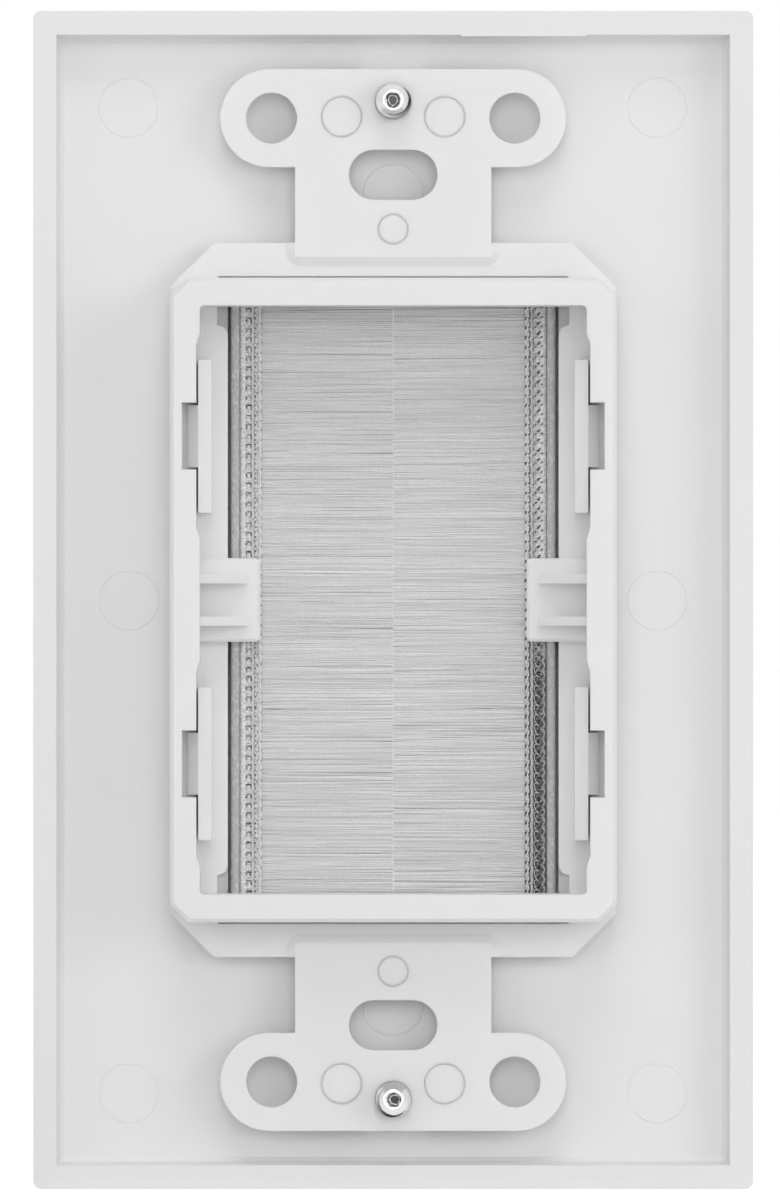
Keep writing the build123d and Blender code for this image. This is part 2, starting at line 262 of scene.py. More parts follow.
steelFinish = {
    "brightness": 0.55,
    "dullest": 0.9,  # share of the brightness between the scratches
    "roughness": 0.35,
    "roughnessSpread": 0.1,
    "scratchSize": 0.25 * mm,
    "scratchDepth": 0.004 * mm,
    # painted shade colour for the thread grooves and the tip's cup
    "hollowShade": 0.05,
}


def steelMaterial(name, finish):
    material, graph = newMaterial(name)
    level = finish["brightness"]
    scratches = graph.noise(graph.objectPlace(), 1 / finish["scratchSize"], 3.0)
    clean = graph.mixColours(scratches, grey(level * finish["dullest"]), grey(level))
    # Painted shade in the hollows, kept in the recess attribute
    recess = graph.node("ShaderNodeAttribute", {"attribute_name": "recess"}, {}, "Fac")
    surface = graph.node("ShaderNodeBsdfPrincipled", {}, {
        "Base Color": graph.mixColours(recess, clean, grey(finish["hollowShade"])),
        "Metallic": 1.0,
        "Roughness": finish["roughness"] + scratches * finish["roughnessSpread"],
        "Normal": graph.bump(scratches * finish["scratchDepth"]),
    })
    graph.end("ShaderNodeOutputMaterial", surface)
    return material


coverPlastic = plasticMaterial("coverPlastic", plasticFinish)
strapPlastic = plasticMaterial("strapPlastic", plasticFinish | {
    "brightness": 0.87, "roughness": 0.5, "translucency": 0.5})
bezelPlastic = plasticMaterial("bezelPlastic", plasticFinish | {"brightness": 0.85})
nylonFilament = filamentMaterial("nylonFilament", filamentFinish)
stitchThread = filamentMaterial("stitchThread", threadFinish)
coreSteel = steelMaterial("coreSteel", steelFinish)
screwSteel = steelMaterial("screwSteel", steelFinish | {"brightness": 0.78, "roughness": 0.16})

finishes = {
    "cover_plate": coverPlastic,
    "strap_frame": strapPlastic,
    "brush_bezel": bezelPlastic,
    "right_bristles": nylonFilament,
    "left_bristles": nylonFilament,
    "right_core_wire": coreSteel,
    "left_core_wire": coreSteel,
    "right_ladder_stitch": stitchThread,
    "left_ladder_stitch": stitchThread,
    "right_edge_stitch": stitchThread,
    "left_edge_stitch": stitchThread,
    "top_cover_screw": screwSteel,
    "bottom_cover_screw": screwSteel,
}
for nodeName, finish in finishes.items():
    for materialSlot in nodes[nodeName].material_slots:
        materialSlot.material = finish
print("materials made")


class GeometryGraph(Graph):
    # A geometry tree with a named input for each value, run on an empty mesh to make a piece
    def __init__(self, name, values):
        super().__init__(bpy.data.node_groups.new(name, "GeometryNodeTree"))
        inputs = self.tree.interface
        kinds = {float: "NodeSocketFloat", int: "NodeSocketInt"}
        self.ids = {}
        for label, value in values.items():
            kind = kinds.get(type(value), "NodeSocketMaterial")
            item = inputs.new_socket(label, in_out="INPUT", socket_type=kind)
            self.ids[label] = item.identifier
        inputs.new_socket("Geometry", in_out="OUTPUT", socket_type="NodeSocketGeometry")
        self.entry = self.tree.nodes.new("NodeGroupInput")

    def given(self, label):
        return Wire(self, self.entry.outputs[label])

    def read(self, label):
        return self.node("GeometryNodeInputNamedAttribute", {"data_type": "FLOAT"}, {"Name": label})

    def store(self, geometry, label, value):
        settings = {"data_type": "FLOAT", "domain": "POINT"}
        return self.node("GeometryNodeStoreNamedAttribute", settings, {
            "Geometry": geometry, "Name": label, "Value": value})

    def place(self):
        x = self.node("ShaderNodeSeparateXYZ", {}, {0: self.node("GeometryNodeInputPosition")})
        return x, self.other(x, "Y"), self.other(x, "Z")

    def moved(self, geometry, where):
        return self.node("GeometryNodeSetPosition", {}, {"Geometry": geometry, "Position": where})

    def both(self, *pieces):
        union = self.tree.nodes.new("GeometryNodeJoinGeometry")
        for piece in pieces:
            self.tree.links.new(piece.socket, union.inputs[0])
        return Wire(self, union.outputs[0])

    def circle(self, sides, radius):
        return self.node("GeometryNodeCurvePrimitiveCircle", {"mode": "RADIUS"}, {
            "Resolution": sides, "Radius": radius})

    def tube(self, path, profile, capped=True):
        return self.node("GeometryNodeCurveToMesh", {}, {
            "Curve": path, "Profile Curve": profile, "Fill Caps": capped})

    def finish(self, geometry):
        smooth = self.node("GeometryNodeSetShadeSmooth", {}, {"Geometry": geometry})
        whole = self.node("GeometryNodeRealizeInstances", {}, {"Geometry": smooth})
        self.end("NodeGroupOutput", self.node("GeometryNodeSetMaterial", {}, {
            "Geometry": whole, "Material": self.given("Finish")}))

    def make(self, name, values):
        holder = bpy.data.objects.new(name, bpy.data.meshes.new(name))
        bpy.context.scene.collection.objects.link(holder)
        modifier = holder.modifiers.new("made", "NODES")
        modifier.node_group = self.tree
        for label, value in values.items():
            modifier[self.ids[label]] = value
        holder.update_tag()
        bpy.context.view_layer.update()
        evaluated = holder.evaluated_get(bpy.context.evaluated_depsgraph_get())
        mesh = bpy.data.meshes.new_from_object(evaluated)
        holder.modifiers.remove(modifier)
        holder.data = mesh
        return holder


def joined(name, parts):
    # Several finished meshes as one object
    bpy.context.view_layer.update()
    first = parts[0]
    with bpy.context.temp_override(
        active_object=first, object=first,
        selected_objects=parts, selected_editable_objects=parts,
    ):
        bpy.ops.object.join()
    first.name = name
    first.data.name = name
    return first


def fit(piece, slot, *replaced):
    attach(piece, "root")
    if replaced:
        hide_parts(*replaced)
    triangles = sum(len(face.vertices) - 2 for face in piece.data.polygons)
    print(piece.name, triangles, "triangles")


low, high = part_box("right_bristles")
stripMiddleY = (low.y + high.y) / 2
stripHalfLength = high.z
foldCentreX = high.x - 0.6 * mm
stitchPitch = 0.94375 * mm
stitchCount = 64.0

# Bristles: each filament is folded once round the core wire, and both legs reach the middle
bristles = {
    "Filaments": 2900,
    "Half length": stripHalfLength - 0.06 * mm,
    "Radius": 0.056 * mm,
    "Shade": 0.86,
    "Shade spread": 0.12,
    "Leg crowding": 0.41,  # draws a leg's points towards the fold
    "Middle y": stripMiddleY,
    "Tip x": 0.01 * mm,
    "Tip spread": 0.03 * mm,
    "Root x": 12.75 * mm,  # where the seams' pads begin
    "Fold x": foldCentreX,
    "Fold half width": 0.42 * mm,
    "Fold half depth": 0.42 * mm,
    "Fold start": 1.9 * mm,  # from the root
    "Fold fade": 0.4 * mm,
    "Band half depth": 0.33 * mm,  # under the seams
    "Sheet half depth": 0.39 * mm,  # in the window
    "Sheet fade": 0.6 * mm,
    "Seam start": 0.2 * mm,  # from the root
    "Seam fade": 1.0 * mm,
    "Seam darkness": 2.2,
    "Groups": 420.0,  # strands that lean together, per metre of strip
    "Wander": 0.2 * mm,
    "Stray": 0.15 * mm,
    "Ripple": 0.10 * mm,
    "Gather": 0.11 * mm,  # drawn together by each stitch
    "Gather x": 0.15 * mm,
    "Gather reach": 0.7 * mm,
    "Pitch": stitchPitch,
    "Bead x": foldCentreX + 0.155 * mm,
    "Bead half width": 0.445 * mm,
    "Bead half depth": 0.79 * mm,
    "Bead roughness": 0.03 * mm,
    "Bead shade": 0.04,
    "Bead contrast": 2.8,
    # painted highlight along the bead's outer edge
    "Bead rim highlight": 0.12,
    "Seed": 4,
    "Finish": nylonFilament,
}


def buildBristleGraph():
    g = GeometryGraph("foldedBristles", bristles)
    given = g.given
    count = given("Filaments")
    index = g.node("GeometryNodeInputIndex")

    def chance(number, lowest=0.0, highest=1.0):
        return g.node("FunctionNodeRandomValue", {"data_type": "FLOAT"}, {
            2: lowest, 3: highest, "ID": index, "Seed": given("Seed") + number}, 1)

    strands = g.node("GeometryNodePoints", {}, {"Count": count})
    for label, value in (
        ("strand", given("Shade") + chance(2) * given("Shade spread")),
        ("place", ((index + chance(1)) / count * 2.0 - 1.0) * given("Half length")),
        ("layer", chance(3)),
        ("rearWander", chance(4, -1.0, 1.0)),
        ("frontWander", chance(5, -1.0, 1.0)),
        ("rearTip", chance(6)),
        ("frontTip", chance(7)),
    ):
        strands = g.store(strands, label, value)

    # Steps along the rear leg, round the fold and back along the front leg
    legSteps, foldSteps = 3.0, 4.0
    allSteps = 2 * legSteps + foldSteps
    line = g.node("GeometryNodeCurvePrimitiveLine")
    line = g.node("GeometryNodeResampleCurve", {}, {"Curve": line, "Count": int(allSteps) + 1})
    placed = g.node("GeometryNodeInstanceOnPoints", {}, {"Points": strands, "Instance": line})
    curves = g.node("GeometryNodeRealizeInstances", {}, {"Geometry": placed})
    step = g.node("GeometryNodeSplineParameter") * allSteps
    rearLeg = (step / legSteps).clamp() ** given("Leg crowding")
    turn = ((step - legSteps) / foldSteps).clamp() * math.pi
    frontLeg = 1 - ((allSteps - step) / legSteps).clamp() ** given("Leg crowding")
    onFront = step > allSteps / 2

    def eitherLeg(rear, front):
        return g.read(rear) * (1 - onFront) + g.read(front) * onFront

    innerWidth, innerDepth = 0.5, 0.4  # the innermost layer's share of the outermost
    layer = g.read("layer").sqrt()
    tip = given("Tip x") + eitherLeg("rearTip", "frontTip") * given("Tip spread")
    foldWidth = given("Fold half width") * (layer * (1 - innerWidth) + innerWidth)
    x = tip + (given("Fold x") - tip) * (rearLeg - frontLeg) + turn.sin() * foldWidth
    fromRoot = x - given("Root x")
    free = ((given("Root x") - x) / given("Sheet fade")).clamp()
    onFold = ((fromRoot - given("Fold start")) / given("Fold fade")).clamp()
    depth = given("Band half depth") * (1 - free) * (1 - onFold)
    depth = depth + given("Sheet half depth") * free
    depth = depth + given("Fold half depth") * onFold * (1 - free)
    y = given("Middle y") + turn.cos() * depth * (layer * (1 - innerDepth) + innerDepth)

    # Little light reaches the strands under the seams
    under = ((fromRoot - given("Seam start")) / given("Seam fade")).clamp()
    shade = g.read("strand") * (1 - under * given("Seam darkness"))
    curves = g.store(curves, "strand", shade)

    # Strands lean in groups and wander more towards their tips
    frontShift = 7.0  # the two legs lean apart
    ripplesAlong, ripplesAcross, rippleShift = 300.0, 600.0, 9.0
    out = ((given("Root x") - x) / given("Root x")).clamp()
    z = g.read("place")
    group = g.noise(g.point(X=onFront * frontShift, Z=z * given("Groups"))) - 0.5
    stray = eitherLeg("rearWander", "frontWander") * given("Stray")
    ripplePlace = g.point(
        X=x * ripplesAlong, Y=g.read("strand") * rippleShift, Z=z * ripplesAcross)
    ripple = g.noise(ripplePlace, detail=1.0) - 0.5
    gathered = 1 - ((fromRoot - given("Gather x")).abs() / given("Gather reach")).most(1.0)
    pull = (z / given("Pitch") * (2 * math.pi)).sin() * given("Gather") * gathered
    leaning = z + out * (group * given("Wander") * 2.0 + stray)
    leaning = leaning + ripple * given("Ripple") * out.sqrt() - pull
    leaning = leaning.most(given("Half length")).least(given("Half length") * -1.0)
    bent = g.moved(curves, g.point(X=x, Y=y, Z=leaning))
    tubes = g.tube(bent, g.circle(3, given("Radius")))

    # The outer edge, where the folds are pressed into one smooth squared bead
    ring = g.node("GeometryNodeMeshCylinder", {"fill_type": "TRIANGLE_FAN"}, {
        "Vertices": 24, "Side Segments": 240, "Radius": 1.0, "Depth": 1.0})
    ringX, ringY, ringZ = g.place()
    fluffAround, fluffAlong = 4.0, 160.0
    fluff = g.noise(g.point(
        X=ringX * fluffAround, Y=ringY * fluffAround,
        Z=ringZ * fluffAlong + given("Seed")), detail=3.0)
    swell = (fluff - 0.5) * given("Bead roughness")
    inCap = (ringX * ringX + ringY * ringY) < 0.5  # the middle of each end
    fourthPowers = ringX * ringX * ringX * ringX + ringY * ringY * ringY * ringY
    square = 1 / fourthPowers.least(0.01) ** 0.25
    square = square * (1 - inCap) + inCap
    where = g.point(
        X=given("Bead x") + ringX * square * (given("Bead half width") + swell),
        Y=given("Middle y") + ringY * square * (given("Bead half depth") + swell),
        Z=ringZ * 2.0 * given("Half length"))
    # Painted highlight along the bead's outermost edge
    rimStart, rimFade = 0.85, 0.1
    rim = ((ringX * square - rimStart) / rimFade).clamp()
    shade = (fluff - 0.5) * given("Bead contrast") + given("Bead shade")
    ring = g.store(ring, "strand", shade + rim * given("Bead rim highlight"))
    g.finish(g.both(tubes, g.moved(ring, where)))
    return g


def turnedOver(piece):
    # The other strip is the same strip turned about a vertical line
    turn = Matrix.Translation((0, stripMiddleY, 0)) @ Matrix.Rotation(math.pi, 4, "Z")
    piece.data.transform(turn @ Matrix.Translation((0, -stripMiddleY, 0)))
    return piece


bristleGraph = buildBristleGraph()
fit(bristleGraph.make("rightFilaments", bristles), "nylon_filament", "right_bristles")
leftFilaments = turnedOver(bristleGraph.make("leftFilaments", bristles | {"Seed": 11}))
fit(leftFilaments, "nylon_filament", "left_bristles")
print("bristles made")


# Seams: two-ply threads over a felted pad with needle holes
lowerRun = 8.0 * mm  # the colour darkens over this length below the middle
threadBase = {
    "Stitches": stitchCount,
    "Steps": 14,  # per stitch
    "Pitch": stitchPitch,
    "Centre x": 14.0 * mm,
    "Sway": 0.2 * mm,  # side to side
    "Sway phase": 0.0,
    "Swing": 0.0 * mm,  # up and down, which closes the stitch into a loop
    "Swing phase": 0.0,
    "Level": 0.68 * mm,
    "Lift": 0.04 * mm,
    "Lift phase": 0.0,
    "Ply radius": 0.05 * mm,
    "Ply spacing": 0.9,  # from the thread's middle, in ply radii
    "Twist": 3.0,
    "Waver": 0.06 * mm,
    "Waver rate": 1.7,  # per stitch
    "Shade": 0.72,
    "Shade spread": 0.3,
    "Lower darkness": 0.0,
    "Middle y": stripMiddleY,
    "Side": 1.0,
    "Seed": 1,
    "Finish": stitchThread,
}


def buildThreadGraph():
    g = GeometryGraph("seamThread", threadBase)
    given = g.given
    total = given("Stitches") * given("Steps") + 1.0
    line = g.node("GeometryNodeMeshLine", {"mode": "OFFSET"}, {"Count": total})
    curve = g.node("GeometryNodeMeshToCurve", {}, {"Mesh": line})
    t = g.node("GeometryNodeInputIndex") / given("Steps")
    turn = t * (2 * math.pi)
    waver = g.noise(g.point(X=t * given("Waver rate"), Y=given("Seed") * 3.1))
    shift = (waver - 0.5) * given("Waver")
    x = given("Centre x") + given("Sway") * (turn + given("Sway phase")).sin() + shift
    lift = given("Level") + given("Lift") * (turn + given("Lift phase")).sin()
    z = (t - given("Stitches") / 2.0) * given("Pitch")
    z = z + given("Swing") * (turn + given("Swing phase")).sin() + shift * 0.5
    path = g.moved(curve, g.point(X=x, Y=given("Middle y") + lift * given("Side"), Z=z))
    path = g.node("GeometryNodeSetCurveTilt", {}, {"Curve": path, "Tilt": turn * given("Twist")})
    below = (z / -lowerRun).clamp() * given("Lower darkness")
    path = g.store(path, "strand", given("Shade") + waver * given("Shade spread") - below)
    circle = g.circle(4, given("Ply radius"))
    plies = []
    for side in (1.0, -1.0):
        apart = g.point(X=given("Ply radius") * (given("Ply spacing") * side))
        plies.append(g.node("GeometryNodeTransform", {}, {
            "Geometry": circle, "Translation": apart}))
    g.finish(g.tube(path, g.both(*plies)))
    return g


threadGraph = buildThreadGraph()

groundBase = {
    "Inner x": 13.5 * mm,
    "Outer x": 14.87 * mm,
    "Columns": 22,
    "Rows": 860,
    "Stitches": stitchCount,
    "Pitch": stitchPitch,
    "Level": 0.62 * mm,
    "Root level": 0.40 * mm,
    "Edge start": 0.42,  # shares of the pad's width
    "Edge run": 0.08,
    "Edge fall": 0.12 * mm,
    "Fuzz": 0.12 * mm,
    "Hole sway": 0.12 * mm,
    "Hole slope": 3.0,
    "Hole depth": 0.45 * mm,
    # Painted shade: needle holes darker, and the pad lighter or darker by its height
    "Hole darkness": 0.85,
    "Shade": 0.68,
    "Fibre contrast": 1.2,
    "Full shade height": 0.5 * mm,
    "Lower darkness": 0.0,
    "Middle y": stripMiddleY,
    "Side": 1.0,
    "Seed": 1,
    "Finish": stitchThread,
}


def ridge(number, x, halfWidth, height, knots=0.0, phase=0.0):
    label = f"Ridge {number} "
    return {
        label + "x": x * mm, label + "half width": halfWidth * mm,
        label + "height": height * mm, label + "knots": knots, label + "phase": phase,
    }


def hole(number, x, halfWidth, halfHeight, phase=0.0, slant=0.0):
    label = f"Hole {number} "
    return {
        label + "x": x * mm, label + "half width": halfWidth * mm,
        label + "half height": halfHeight * mm, label + "phase": phase, label + "slant": slant,
    }


def buildGroundGraph(name, values):
    # A felted pad whose face has ridges and needle holes at every stitch
    g = GeometryGraph(name, values)
    given = g.given
    pad = g.node("GeometryNodeMeshCube", {}, {
        "Size": (1, 1, 1), "Vertices X": given("Columns"), "Vertices Y": 2,
        "Vertices Z": given("Rows")})
    acrossPad, throughPad, alongPad = g.place()
    x = given("Inner x") + (given("Outer x") - given("Inner x")) * (acrossPad + 0.5)
    z = alongPad * given("Stitches") * given("Pitch")

    def cloud(acrossPerMm, alongPerMm, detail=2.0):
        spot = g.point(
            X=x * (acrossPerMm / mm), Y=given("Seed") * 1.7, Z=z * (alongPerMm / mm))
        return g.noise(spot, detail=detail)

    below = (z / -lowerRun).clamp() * given("Lower darkness")
    unevenPitch = 0.5
    t = z / given("Pitch") + (cloud(0.0, 0.7) - 0.5) * unevenPitch
    fibres = cloud(5.0, 9.0, 3.0)
    height = (fibres - 0.5) * given("Fuzz")
    number = 1
    while f"Ridge {number} x" in values:
        label = f"Ridge {number} "
        wave = (t * (2 * math.pi) + given(label + "phase")).cos() * 0.5 + 0.5
        knot = 1 - given(label + "knots") * (1 - wave)
        across = (x - given(label + "x")) / given(label + "half width")
        height = height + given(label + "height") * (1 - across * across).clamp() * knot
        number += 1

    shallowest = 0.55  # share of the full depth
    growth = 1.6  # dark holes are wider
    holes = None
    number = 1
    while f"Hole {number} x" in values:
        label = f"Hole {number} "
        across = x - given(label + "x") + (cloud(0.0, 1.3) - 0.5) * given("Hole sway")
        slant = across * given(label + "slant") / given("Pitch")
        along = (t - given(label + "phase") + slant) + 0.5
        chance = g.node("ShaderNodeTexWhiteNoise", {"noise_dimensions": "1D"}, {
            "W": along.floor() + given("Seed") * 31.0 + number * 7.0})
        halfHeight = given(label + "half height") * (below * growth + 1)
        along = ((along % 1.0) - 0.5) * given("Pitch") / halfHeight
        across = across / given(label + "half width")
        pit = ((1 - across * across - along * along) * given("Hole slope")).clamp()
        pit = pit * (shallowest + chance * (1 - shallowest))
        holes = pit if holes is None else holes.least(pit)
        number += 1
    height = height - holes * given("Hole depth")

    onFace = throughPad > 0.0
    edge = ((acrossPad.abs() - given("Edge start")) / given("Edge run")).clamp()
    face = given("Level") + height - edge * edge * given("Edge fall")
    depth = given("Root level") * (1 - onFace) + face * onFace
    where = g.point(X=x, Y=given("Middle y") + depth * given("Side"), Z=z)
    # Painted shade: needle holes and low parts of the pad darker, ridges lighter; the fibres add
    # random tone
    shade = given("Shade") + (fibres - 0.5) * given("Fibre contrast")
    shade = shade + height / given("Full shade height") - holes * given("Hole darkness") - below
    pad = g.store(pad, "strand", shade.clamp())
    g.finish(g.moved(pad, where))
    return g


# The ladder face: a fuzzy outer rail, a column of arched loops and a light rail
ladderGround = groundBase | {"Hole depth": 0.16 * mm, "Hole darkness": 0.34}
ladderGround |= ridge(1, 13.66, 0.10, 0.10) | ridge(2, 14.55, 0.25, 0.04)
ladderGround |= hole(1, 14.03, 0.32, 0.09)
ladderGround |= hole(2, 13.81, 0.07, 0.26, -0.25) | hole(3, 14.25, 0.06, 0.22, -0.22)
ladderThreads = [
    {"Centre x": 14.60 * mm, "Sway": 0.08 * mm, "Level": 0.64 * mm, "Ply radius": 0.04 * mm},
    {"Centre x": 13.66 * mm, "Sway": 0.03 * mm, "Level": 0.70 * mm},
]
# The diamond face: crossing threads with slanting holes beside them
diamondGround = groundBase | {"Side": -1.0, "Seed": 5, "Lower darkness": 0.6}
diamondGround |= ridge(1, 13.56, 0.08, 0.06) | ridge(2, 14.5, 0.2, 0.05)
diamondGround |= hole(1, 13.74, 0.26, 0.14, 0.0, -0.9) | hole(2, 14.12, 0.18, 0.12, 0.42, -0.9)
diamondGround |= hole(3, 14.45, 0.10, 0.09, 0.1, -0.6) | hole(4, 13.56, 0.06, 0.22, 0.5)
diamondThreads = [
    {"Centre x": 13.90 * mm, "Sway": 0.20 * mm, "Swing": 0.24 * mm, "Swing phase": 2.2,
     "Level": 0.66 * mm, "Ply radius": 0.04 * mm, "Lower darkness": 0.1},
    {"Centre x": 13.54 * mm, "Sway": 0.03 * mm, "Level": 0.66 * mm, "Ply radius": 0.04 * mm,
     "Lower darkness": 0.1},
    {"Centre x": 14.62 * mm, "Sway": 0.08 * mm, "Level": 0.66 * mm, "Lower darkness": 0.25},
]
# The edge seam: small loops and the bright knots that hold the bristles
edgeGround = groundBase | {
    "Inner x": 12.78 * mm, "Outer x": 13.50 * mm, "Columns": 13, "Seed": 8,
    "Hole darkness": 0.6}
edgeGround |= ridge(1, 12.90, 0.12, 0.20, 0.8) | ridge(2, 13.12, 0.1, 0.04)
edgeGround |= hole(1, 13.34, 0.12, 0.09, 0.05) | hole(2, 13.30, 0.11, 0.08, 0.45)
edgeGround |= hole(3, 12.86, 0.09, 0.06, 0.5)
edgeLoops = [
    {"Centre x": 13.34 * mm, "Sway": 0.10 * mm, "Swing": 0.14 * mm, "Swing phase": 1.5,
     "Level": 0.62 * mm, "Ply radius": 0.035 * mm, "Shade": 0.95},
    {"Centre x": 12.95 * mm, "Sway": 0.04 * mm, "Level": 0.74 * mm, "Lift": 0.0,
     "Ply radius": 0.06 * mm, "Shade": 1.0},
]
# The toothed edge seam: slanting teeth with a hole beside each one
toothGround = edgeGround | {"Side": -1.0, "Seed": 13, "Lower darkness": 0.2}
toothGround |= ridge(1, 12.98, 0.16, 0.10, 0.6) | ridge(2, 13.40, 0.08, 0.08)
toothGround |= hole(1, 12.90, 0.10, 0.14, 0.0, -0.8) | hole(2, 13.22, 0.14, 0.08, 0.05, -0.7)
toothGround |= hole(3, 13.28, 0.06, 0.30, 0.5)
edgeTeeth = [
    {"Centre x": 13.05 * mm, "Sway": 0.10 * mm, "Swing": 0.16 * mm, "Level": 0.72 * mm,
     "Shade": 0.95},
    {"Centre x": 13.42 * mm, "Sway": 0.03 * mm, "Level": 0.68 * mm},
]


def seam(name, replaced, ground, threads):
    side = ground["Side"]
    pad = buildGroundGraph(name + "Ground", ground).make(name, ground)
    if side < 0:
        pad.data.flip_normals()  # its mirrored depth turned it inside out
    parts = [pad]
    for number, changes in enumerate(threads):
        values = threadBase | {"Seed": number + 1, "Side": side} | changes
        parts.append(threadGraph.make(name + str(number), values))
    piece = joined(name, parts)
    if side < 0:
        turnedOver(piece)
    fit(piece, "stitch_thread", replaced)


seam("rightLadderThreads", "right_ladder_stitch", ladderGround, ladderThreads)
seam("leftDiamondThreads", "left_ladder_stitch", diamondGround, diamondThreads)
seam("rightEdgeThreads", "right_edge_stitch", edgeGround, edgeLoops)
seam("leftEdgeThreads", "left_edge_stitch", toothGround, edgeTeeth)
print("seams made")


# Round marks left by the mould's ejector pins
ejectorMark = {
    "Diameter": 5.9 * mm,
    "Place x": 0.0,
    "Place z": 0.0,
    "Level": 0.0,
    "Lip half width": 0.09 * mm,
    "Lip height": 0.05 * mm,
    "Sides": 56,
    "Lip sides": 8,
    "Finish": coverPlastic,
}


def buildMarkGraph():
    g = GeometryGraph("ejectorMark", ejectorMark)
    given = g.given
    circle = g.circle(given("Sides"), given("Diameter") / 2.0 - given("Lip half width"))
    ring = g.tube(circle, g.circle(given("Lip sides"), given("Lip half width")), False)
    x, y, z = g.place()
    g.finish(g.moved(ring, g.point(
        X=x + given("Place x"),
        Y=given("Level") - z * given("Lip height") / given("Lip half width"),
        Z=y + given("Place z"))))
    return g


markGraph = buildMarkGraph()


def marks(name, slot, finish, level, places):
    parts = []
    for number, (x, z, diameter) in enumerate(places):
        parts.append(markGraph.make(name + str(number), ejectorMark | {
            "Place x": x * mm, "Place z": z * mm, "Diameter": diameter * mm,
            "Level": level * mm, "Finish": finish}))
    fit(joined(name, parts), slot)


# Place across, place up and diameter of each mark, in millimetres
coverMarks = [(x, z, 5.9) for x in (-25.7, 25.7) for z in (-47.9, 0.0, 47.9)]
coverMarks += [(0.0, -39.5, 5.9), (0.0, 39.5, 5.9)]
strapMarks = [(x, z, 4.05) for x in (-5.0, 5.0) for z in (-46.9, 46.9)]
strapMarks += [(0.0, -36.0, 3.05), (0.0, 36.0, 3.05)]
marks("coverPinMarks", "cover_plastic", coverPlastic, -3.6, coverMarks)
marks("strapPinMarks", "strap_plastic", strapPlastic, 0.0, strapMarks)
print("mould marks made")


# Cover screws: rolled thread with a hollow tip, and a painted slotted head
shank = {
    "Sides": 56,
    "Rings": 96,
    "Tip rings": 14,
    "Crest radius": 1.74 * mm,
    "Root radius": 1.38 * mm,
    "Thread pitch": 0.79375 * mm,
    "Flank slope": 1.5,
    "Root flat": 0.2,
    "Run-in": 0.4 * mm,
    "Neck y": -3.75 * mm,
    "Thread start y": -2.6 * mm,
    "Tip y": 3.0 * mm,
    "Tip chamfer": 0.78 * mm,
    "Tip radius": 0.98 * mm,
    "Recess fade": 0.22 * mm,
    "Recess reach": 1.3,  # in chamfers from the tip
    "Crater depth": 0.6 * mm,
    "Crater rim": 0.22,  # shares of the tip's radius, from its edge
    "Crater slope": 0.30,
    "Crater roughness": 0.45,
    "Crater lumps": 2.2,
    "Crater shift": 0.0 * mm,
    # where the painted shade in the cup's middle begins and fades in
    "Crater shade start": 0.50,
    "Crater shade fade": 0.10,
    "Place z": 48.41 * mm,
    "Turn": 0.0,
    "Finish": screwSteel,
}


def buildShankGraph():
    g = GeometryGraph("threadedShank", shank)
    given = g.given
    rod = g.node("GeometryNodeMeshCylinder", {"fill_type": "TRIANGLE_FAN"}, {
        "Vertices": given("Sides"), "Side Segments": given("Rings"),
        "Fill Segments": given("Tip rings"), "Radius": 1.0, "Depth": 1.0})
    x, y, z = g.place()
    away = (x * x + y * y).sqrt()
    around = y.angle(x) + given("Turn")
    depth = given("Neck y") + (z + 0.5) * (given("Tip y") - given("Neck y"))
    turns = depth / given("Thread pitch") + around / (2 * math.pi)
    tooth = ((turns % 1.0) - 0.5).abs() * 2.0
    thread = (tooth * given("Flank slope") - given("Root flat")).clamp()
    started = ((depth - given("Thread start y")) / given("Run-in")).clamp()
    threaded = given("Root radius") + (given("Crest radius") - given("Root radius")) * thread
    radius = given("Crest radius") * (1 - started) + threaded * started
    toTip = (given("Tip y") - depth) / given("Tip chamfer")
    cone = given("Tip radius") + (given("Crest radius") - given("Tip radius")) * toTip
    cut = radius.most(cone)
    # Painted shade in the thread grooves where the tip's chamfer cuts the thread
    recess = ((cone - cut) / given("Recess fade")).clamp() * (toTip < given("Recess reach"))

    # The end is a shallow cup with painted shade in its rough middle
    onTip = (z > 0.4999) * (away < 0.995)
    lumps = given("Crater lumps")
    rough = g.noise(g.point(X=x * lumps, Y=y * lumps, Z=given("Turn")), detail=3.0)
    inward = 1 - away + (rough - 0.5) * given("Crater roughness")
    cup = ((inward - given("Crater rim")) / given("Crater slope")).clamp()
    dark = ((inward - given("Crater shade start")) / given("Crater shade fade")).clamp() * onTip
    size = cut * (1 - onTip) + given("Tip radius") * onTip

    def sized(across):
        return across * size / away.least(0.0001) * (away * onTip + 1 - onTip)

    rod = g.store(rod, "recess", (recess + dark).clamp())
    g.finish(g.moved(rod, g.point(
        X=sized(x) + cup * given("Crater shift"),
        Y=depth - cup * given("Crater depth") * onTip,
        Z=given("Place z") - sized(y))))
    return g


headPaint = plasticMaterial("headPaint", plasticFinish | {"brightness": 0.79, "roughness": 0.3})
screwHead = {
    "radius": 3.4 * mm,
    "faceY": -5.6 * mm,
    "domeHeight": 0.75 * mm,
    "domeRings": 9,
    "edgeInset": 0.03 * mm,
    "edgeDrop": 0.06 * mm,
    "neckRadius": 1.75 * mm,
    "neckY": -3.7 * mm,
    "slotWidth": 1.0 * mm,
    "slotDepth": 0.7 * mm,
    "slotReach": 2.4,  # in radii of the head
    "segments": 64,
}


def headOutline(look):
    # Radius and depth from the dome's middle to the neck
    radius, rise = look["radius"], look["domeHeight"]
    domeRadius = (radius ** 2 + rise ** 2) / (2 * rise)
    outline = []
    for number in range(look["domeRings"]):
        r = radius * (number + 0.5) / look["domeRings"]
        up = math.sqrt(domeRadius ** 2 - r ** 2) - domeRadius + rise
        outline.append((r, look["faceY"] - up))
    return outline + [
        (radius, look["faceY"]),
        (radius - look["edgeInset"], look["faceY"] + look["edgeDrop"]),
        (look["neckRadius"], look["neckY"]),
    ]


